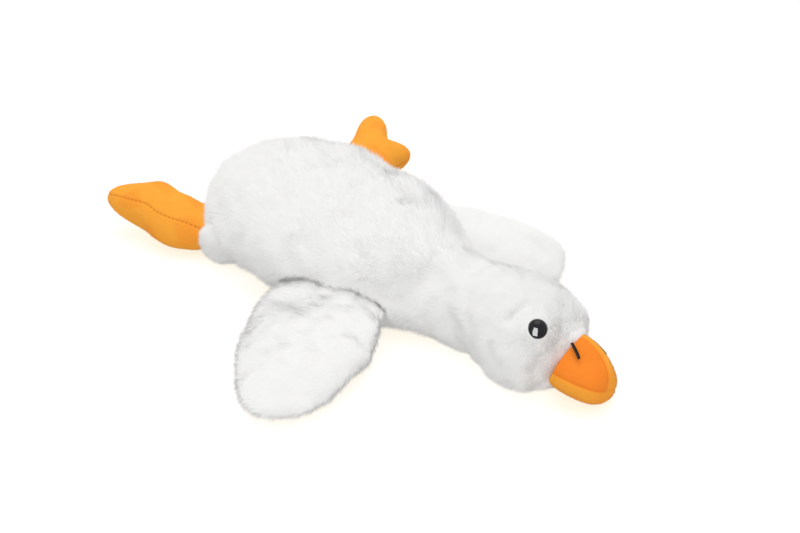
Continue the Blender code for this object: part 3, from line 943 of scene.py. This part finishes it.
class GOOSE_OT_body(bpy.types.Operator):
    """Makes the torso, neck and head, with their folds and fur"""

    bl_idname = "goose.body"
    bl_label = "Body and fur"

    def execute(self, context):
        sizes = context.scene.goose_pile
        sewing = context.scene.goose_sewing
        neighbours = ("bill", "right_eye", "left_eye")
        skin = soft_skin("body", "body_skin", 0.0042, sewing.skin_depth, neighbours, 0.0004, 0.0016)
        swell(skin, 3.0, sewing.swell)
        subdivide(skin)
        points = points_of(skin.data)
        gaps, _ = way_into(points, ("bill",))
        sides = smooth_step(np.abs((points - np.array(BILL_PIVOT)) @ bill_axes()[1]), 0.004, 0.018)
        points[:, 0] -= sewing.fur_line * sides * (1.0 - smooth_step(gaps[:, 0], 0.001, 0.026))
        put_points(skin.data, points)
        points = points_of(skin.data)
        stuffing = 0.0010 * ripple(points, 0.060, 3) + 0.0004 * ripple(points, 0.022, 4)
        bill_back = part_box("bill")[0][0]
        full_head = smooth_step(points[:, 0], HEAD_START, HEAD_START + 0.02)
        full_head *= 1.0 - smooth_step(points[:, 0], bill_back + 0.012, bill_back + 0.020)
        stuffing += sewing.head_filling * full_head
        put_points(skin.data, points + normals_of(skin.data) * stuffing[:, None])
        for _, pixels, width, depth in BODY_FOLDS:
            tree = tree_of(skin)
            crease(skin, [seen_at(tree, pixel)[0] for pixel in pixels], width, depth)
        rest_on_floor(skin)
        dress(skin, shared("white fur cloth", fur_cloth))
        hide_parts("body")
        eyes = eye_middles()

        def towards_tail(roots):
            ones = np.ones(len(roots))
            around = np.stack([0.0 * ones, np.sign(roots[:, 1]), -0.9 * ones], axis=1)
            high = smooth_step(roots[:, 2], 0.02, 0.075)[:, None]
            from_bill = unit(roots - np.array(BILL_PIVOT) - 0.012 * bill_axes()[2])
            face = smooth_step(roots[:, 0], bill_back - 0.015, bill_back + 0.010)[:, None]
            tail = np.array([-1.0, 0.0, 0.0])
            return tail + around * (0.55 * (1 - high) * (1 - face)) + 1.6 * face * from_bill

        def round_the_eyes(roots):
            kept = np.ones(len(roots))
            for eye in eyes:
                away = np.linalg.norm(roots - eye, axis=1)
                kept *= 0.30 + 0.70 * smooth_step(away, EYE_REACH, EYE_REACH + 0.008)
            gaps, _ = way_into(roots, ("bill",))
            return kept * (0.35 + 0.65 * smooth_step(gaps[:, 0], 0.0015, 0.0110))

        def upright_at_bill(roots):
            return 0.30 * smooth_step(roots[:, 0], bill_back - 0.004, bill_back + 0.010)

        def back_only(centres, normals):
            return off_the_floor(centres, normals) * (centres[:, 0] < HEAD_START - 0.03)

        def head_only(centres, normals):
            kept = off_the_floor(centres, normals) * (centres[:, 0] >= HEAD_START - 0.03)
            for eye in eyes:
                kept = kept * (np.linalg.norm(centres - eye, axis=1) > EYE_REACH)
            gaps, _ = way_into(centres, ("bill",))
            return kept * (gaps[:, 0] > 0.0032)

        back = pile(
            "back_fur", skin, sizes.back_tufts, sizes.back_length, sizes.strand_width, sizes.lean,
            towards_tail, 11, back_only,
        )
        head = pile(
            "head_fur", skin, sizes.head_tufts, sizes.head_length, sizes.strand_width * 0.85, sizes.lean,
            towards_tail, 12, head_only, round_the_eyes, upright_at_bill,
        )
        for fur in (back, head):
            dress(fur, fur_tufts())
        return {"FINISHED"}


class GOOSE_OT_wings(bpy.types.Operator):
    """Makes both stuffed wings and their fur"""

    bl_idname = "goose.wings"
    bl_label = "Wings"

    def execute(self, context):
        sizes = context.scene.goose_pile
        sewing = context.scene.goose_sewing
        for side, seed in (("right", 21), ("left", 22)):
            node = side + "_wing"
            skin = soft_skin(node, node + "_skin", 0.0036, sewing.skin_depth, ("body",), 0.0060, 0.0030)
            swell(skin, 3.0, sewing.swell)
            points = points_of(skin.data)
            stuffing = 0.0008 * ripple(points, 0.040, seed) + 0.0004 * ripple(points, 0.016, seed + 5)
            put_points(skin.data, points + normals_of(skin.data) * stuffing[:, None])
            rest_on_floor(skin)
            dress(skin, shared("white fur cloth", fur_cloth))
            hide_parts(node)
            outward = (-0.55, -1.0 if side == "right" else 1.0, -0.1)
            fur = pile(
                node + "_fur", skin, sizes.wing_tufts, sizes.wing_length, sizes.strand_width,
                sizes.wing_lean, one_way(outward), seed, thick_at_the_joint,
            )
            dress(fur, fur_tufts())
        return {"FINISHED"}


class GOOSE_OT_thighs(bpy.types.Operator):
    """Makes both fur sleeves of the legs"""

    bl_idname = "goose.thighs"
    bl_label = "Thighs"

    def execute(self, context):
        sizes = context.scene.goose_pile
        sewing = context.scene.goose_sewing
        for side, seed in (("right", 31), ("left", 32)):
            node = side + "_thigh"
            skin = soft_skin(node, node + "_skin", 0.0030, sewing.skin_depth, ("body",), 0.0060, 0.0030)
            rest_on_floor(skin)
            dress(skin, shared("white fur cloth", fur_cloth))
            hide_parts(node)
            foot = np.array(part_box(side + "_foot")).mean(axis=0)
            thigh = np.array(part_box(node)).mean(axis=0)
            fur = pile(
                node + "_fur", skin, sizes.thigh_tufts, sizes.wing_length * 0.9, sizes.strand_width,
                sizes.lean, one_way(foot - thigh), seed, thick_at_the_joint,
            )
            dress(fur, fur_tufts())
        return {"FINISHED"}


FOOT_SEAMS = {
    # side: which way the upper panel faces, pixels of the photograph that the edge seam passes
    "right": ((-0.20, 0.52, 0.83), ((146, 207), (162, 212), (180, 219), (200, 228))),
    "left": ((0.05, 0.10, 0.99), ()),
}


def seam_axis(skin, facing, pixels):
    """The direction that the edge seam's cloth is square to, so that the seam runs where it is seen."""
    axis = unit(np.array(facing))
    if pixels:
        tree = tree_of(skin)
        seen = unit(np.mean([seen_at(tree, pixel)[1] for pixel in pixels], axis=0))
        axis = unit(axis - (axis @ seen) * seen)
    return axis


def seam_values(skin, axis):
    """How far the cloth's normal leans over the seam's plane: 0 along the edge seam."""
    return normals_of(skin.data) @ axis


class GOOSE_OT_feet(bpy.types.Operator):
    """Makes both padded webbed feet with their edge seams and stitches"""

    bl_idname = "goose.feet"
    bl_label = "Feet"

    def execute(self, context):
        sizes = context.scene.goose_pile
        sewing = context.scene.goose_sewing
        colours = context.scene.goose_colours
        for side, seed in (("right", 41), ("left", 42)):
            node = side + "_foot"
            skin = soft_skin(
                node, node + "_skin", 0.0022, sewing.plush_depth, ("body", side + "_thigh"), 0.0020
            )
            swell(skin, 5.0, 0.4 * sewing.swell)
            subdivide(skin)
            axis = seam_axis(skin, *FOOT_SEAMS[side])
            line, facing = contour(skin.data, seam_values(skin, axis))
            away = distance_to_line(points_of(skin.data), line)
            groove = sewing.seam_depth * np.exp(-((away / 0.0011) ** 2))
            put_points(skin.data, points_of(skin.data) - normals_of(skin.data) * groove[:, None])
            rest_on_floor(skin)
            give_attribute(skin, "seam", 0.16 * np.exp(-((away / 0.0008) ** 2)))
            # Painted light: the feet take the lit copy of the orange, with random patches towards the shaded
            # copy
            give_attribute(skin, "nap", 1.0 - 0.35 * ripple(points_of(skin.data), 0.030, seed).clip(0.0, 1.0))
            dress(skin, shared("orange plush cloth", plush_cloth))
            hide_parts(node)
            thread = stitches(
                node + "_stitches", line - 0.7 * sewing.seam_depth * facing, facing,
                sewing.stitch_length, sewing.stitch_gap, sewing.thread_width,
            )
            orange = shared("orange thread", thread_material, "orange thread", colours.thread)
            dress(thread, orange)
            thigh = np.array(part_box(side + "_thigh")).mean(axis=0)
            outward = np.array(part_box(node)).mean(axis=0) - thigh
            fuzz = pile(
                node + "_plush", skin, sizes.plush_tufts, sizes.plush_length, sizes.plush_width,
                sizes.lean, one_way(outward), seed, off_the_floor,
            )
            dress(fuzz, plush_tufts("feet"))
        return {"FINISHED"}


class GOOSE_OT_bill(bpy.types.Operator):
    """Makes the stuffed bill with its mouth and ridge seams"""

    bl_idname = "goose.bill"
    bl_label = "Bill"

    def execute(self, context):
        sizes = context.scene.goose_pile
        sewing = context.scene.goose_sewing
        skin = soft_skin("bill", "bill_skin", 0.0018, sewing.plush_depth, ("body",), 0.0008, 0.0012)
        ahead, across, up = bill_axes()
        middle = np.array(BILL_PIVOT)
        heights = (points_of(skin.data) - middle) @ up
        swell(skin, 5.0, 0.003, np.abs(heights) < 0.0012)
        subdivide(skin)
        points = points_of(skin.data) - middle
        flare = sewing.bill_flare * (1.0 - smooth_step(points @ ahead, 0.004, 0.046))
        offsets = points @ across
        flare *= np.sign(offsets) * np.maximum(np.abs(offsets) - 0.012, 0.0)
        put_points(skin.data, points + flare[:, None] * across + middle)
        points = points_of(skin.data)
        heights = (points - middle) @ up
        offsets = (points - middle) @ across + RIDGE_SHIFT
        normals = normals_of(skin.data)
        mouth = np.exp(-((heights / 0.0011) ** 2))
        ridge = np.exp(-((offsets / 0.0010) ** 2)) * (heights > 0.002)
        depth = sewing.seam_depth * (mouth + 0.6 * ridge)
        put_points(skin.data, points - normals * depth[:, None])
        rest_on_floor(skin)
        give_attribute(skin, "seam", 0.45 * np.exp(-((heights / 0.0005) ** 2)) + 0.20 * ridge)
        # Painted light: the lower panel and the strip past the ridge take the lit copy of the orange, for the
        # light they catch; the rest takes the shaded copy
        lower = smooth_step(-heights, 0.0, 0.002)
        give_attribute(skin, "nap", np.maximum(lower, smooth_step(offsets, 0.0, 0.002)))
        dress(skin, shared("orange plush cloth", plush_cloth))
        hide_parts("bill")
        fuzz = pile(
            "bill_plush", skin, sizes.plush_tufts, sizes.plush_length * 0.8, sizes.plush_width,
            sizes.lean, one_way((1.0, 0.0, -0.2)), 51, off_the_floor,
        )
        dress(fuzz, plush_tufts("bill"))
        return {"FINISHED"}


class GOOSE_OT_eyes(bpy.types.Operator):
    """Makes the two polished button eyes"""

    bl_idname = "goose.eyes"
    bl_label = "Eyes"

    diameter: FloatProperty(name="Diameter", description="Width of an eye", default=0.0156, unit="LENGTH")
    dome: FloatProperty(name="Dome", description="Height of its dome", default=0.0068, unit="LENGTH")
    rim: FloatProperty(name="Rim", description="Height of its straight rim", default=0.0014, unit="LENGTH")
    yaw: FloatProperty(
        name="Yaw", description="Turn from straight ahead",
        default=math.radians(67.5), subtype="ANGLE"
    )
    pitch: FloatProperty(
        name="Pitch", description="How far it looks up",
        default=math.radians(17), subtype="ANGLE"
    )

    def execute(self, context):
        for node, side in (("right_eye", -1), ("left_eye", 1)):
            out = Vector(
                (
                    math.cos(self.yaw) * math.cos(self.pitch),
                    side * math.sin(self.yaw) * math.cos(self.pitch),
                    math.sin(self.pitch),
                )
            )
            out.rotate(Matrix.Rotation(HEAD_YAW, 3, "Z") @ Matrix.Rotation(-HEAD_ROLL, 3, "X"))
            points = points_of(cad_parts[node].data)
            middle = points.mean(axis=0)
            top = float((points @ np.array(out)).max())
            seat = Vector(middle) + out * (top - self.dome - self.rim - Vector(middle).dot(out))
            place = Matrix.Translation(seat) @ out.to_track_quat("Z", "Y").to_matrix().to_4x4()
            turn = np.linspace(0.03, math.pi / 2, 20)
            profile = [(self.diameter / 2 * math.sin(t), self.rim + self.dome * math.cos(t)) for t in turn]
            profile += [(self.diameter / 2, self.rim * 0.3), (self.diameter / 2 - 0.0004, 0.0), (0.001, 0.0)]
            eye = turned_surface(node + "_dome", profile, 64, place)
            dress(eye, shared("black eye plastic", eye_plastic))
            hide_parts(node)
        return {"FINISHED"}


class GOOSE_OT_nostrils(bpy.types.Operator):
    """Finishes the two sewn nostril bars"""

    bl_idname = "goose.nostrils"
    bl_label = "Nostrils"

    def execute(self, context):
        colours = context.scene.goose_colours
        thread = shared("black thread", thread_material, "black thread", colours.black_thread)
        for node in ("right_nostril", "left_nostril"):
            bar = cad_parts[node]
            bar.data.materials.clear()
            bar.data.materials.append(thread)
        return {"FINISHED"}


def area_lamp(name, place, aim, width, height, power):
    """A soft lamp of a given size, turned towards a point."""
    light = bpy.data.lights.new(name, "AREA")
    light.shape = "RECTANGLE"
    light.size = width
    light.size_y = height
    light.energy = power
    lamp = new_object(name, light)
    lamp.location = place
    lamp.rotation_euler = (Vector(aim) - Vector(place)).to_track_quat("-Z", "Y").to_euler()
    return lamp


def floor_material():
    """A pale floor that keeps the shadow. The camera sees it white, with faint warm shadows."""
    made, tree, shader = new_material("pale floor", (0.70, 0.70, 0.70), 0.9)
    shader.inputs["Specular IOR Level"].default_value = 0.0
    glow = tree.nodes.new("ShaderNodeEmission")
    glow.inputs["Color"].default_value = (0.86, 0.80, 0.62, 1.0)
    cool = tree.nodes.new("ShaderNodeBsdfDiffuse")
    cool.inputs["Color"].default_value = (0.30, 0.32, 0.50, 1.0)
    seen = tree.nodes.new("ShaderNodeAddShader")
    path = tree.nodes.new("ShaderNodeLightPath")
    blend = tree.nodes.new("ShaderNodeMixShader")
    output = tree.nodes["Material Output"]
    tree.links.new(glow.outputs[0], seen.inputs[0])
    tree.links.new(cool.outputs[0], seen.inputs[1])
    tree.links.new(path.outputs["Is Camera Ray"], blend.inputs[0])
    tree.links.new(shader.outputs[0], blend.inputs[1])
    tree.links.new(seen.outputs[0], blend.inputs[2])
    tree.links.new(blend.outputs[0], output.inputs["Surface"])
    return made


def white_sky(strength):
    """A sky of even light, which looks plain white itself and in reflections."""
    world = bpy.data.worlds.new("sky")
    world.use_nodes = True
    tree = world.node_tree
    sky = tree.nodes["Background"]
    sky.inputs["Color"].default_value = (1.0, 1.0, 1.0, 1.0)
    path = tree.nodes.new("ShaderNodeLightPath")
    seen = path.outputs["Is Camera Ray"]
    for kind in ("Is Glossy Ray", "Is Transmission Ray"):
        either = tree.nodes.new("ShaderNodeMath")
        either.operation = "MAXIMUM"
        tree.links.new(seen, either.inputs[0])
        tree.links.new(path.outputs[kind], either.inputs[1])
        seen = either.outputs[0]
    power = tree.nodes.new("ShaderNodeMapRange")
    power.inputs["To Min"].default_value = strength
    power.inputs["To Max"].default_value = 1.0
    tree.links.new(seen, power.inputs["Value"])
    tree.links.new(power.outputs["Result"], sky.inputs["Strength"])
    return world


class GOOSE_OT_stage(bpy.types.Operator):
    """Makes the floor, the lamps, the sky and the camera"""

    bl_idname = "goose.stage"
    bl_label = "Stage"

    def execute(self, context):
        scene = context.scene
        stage = scene.goose_stage
        bpy.ops.mesh.primitive_plane_add(size=8.0)
        floor = context.object
        floor.name = "floor"
        floor.data.materials.append(floor_material())
        area_lamp("top lamp", (-0.35, 0.55, 1.9), (0.03, 0.0, 0.0), 1.6, 1.6, stage.top)
        area_lamp("front lamp", (0.95, -0.97, 0.42), (0.10, 0.0, 0.05), 0.28, 0.75, stage.front)
        eye = eye_middles()[0]
        strip = eye + CATCH_REACH * np.array((0.29, -0.95, 0.0))
        strip[2] = CATCH_HEIGHT / 2 + 0.003
        catch = area_lamp("catch light", strip, eye, CATCH_WIDTH, CATCH_HEIGHT, stage.catch)
        catch.visible_camera = False
        catch.visible_diffuse = False
        scene.world = white_sky(stage.sky)
        right, up, back = camera_axes(stage)
        lens = bpy.data.cameras.new("camera")
        lens.sensor_width = 36.0
        lens.lens = stage.focus / PHOTO_WIDTH * lens.sensor_width
        camera = new_object("camera", lens)
        turn = Matrix((right, up, back)).transposed().to_4x4()
        camera.matrix_world = Matrix.Translation(Vector(stage.target) + stage.distance * Vector(back)) @ turn
        scene.camera = camera
        scene.view_settings.view_transform = "Standard"
        return {"FINISHED"}


class GOOSE_PT_panel(bpy.types.Panel):
    """Lists the goose's pieces and their sizes"""

    bl_label = "Plush goose"
    bl_idname = "GOOSE_PT_panel"
    bl_space_type = "VIEW_3D"
    bl_region_type = "UI"
    bl_category = "Goose"

    def draw(self, context):
        for operator in OPERATORS:
            self.layout.operator(operator.bl_idname)
        for group in (context.scene.goose_pile, context.scene.goose_sewing, context.scene.goose_colours):
            box = self.layout.box()
            for name in group.bl_rna.properties.keys():
                if name not in ("rna_type", "name"):
                    box.prop(group, name)


GROUPS = (
    ("goose_pile", GoosePile),
    ("goose_sewing", GooseSewing),
    ("goose_colours", GooseColours),
    ("goose_stage", GooseStage),
)
OPERATORS = (
    GOOSE_OT_stage,
    GOOSE_OT_body,
    GOOSE_OT_wings,
    GOOSE_OT_thighs,
    GOOSE_OT_feet,
    GOOSE_OT_bill,
    GOOSE_OT_eyes,
    GOOSE_OT_nostrils,
)


def register():
    for name, group in GROUPS:
        bpy.utils.register_class(group)
        setattr(bpy.types.Scene, name, PointerProperty(type=group))
    for made in (*OPERATORS, GOOSE_PT_panel):
        bpy.utils.register_class(made)


def unregister():
    for made in (GOOSE_PT_panel, *reversed(OPERATORS)):
        bpy.utils.unregister_class(made)
    for name, group in reversed(GROUPS):
        delattr(bpy.types.Scene, name)
        bpy.utils.unregister_class(group)


def main():
    register()
    bpy.ops.goose.stage()
    bpy.ops.goose.body()
    bpy.ops.goose.wings()
    bpy.ops.goose.thighs()
    bpy.ops.goose.feet()
    bpy.ops.goose.bill()
    bpy.ops.goose.eyes()
    bpy.ops.goose.nostrils()


if __name__ == "__main__":
    main()
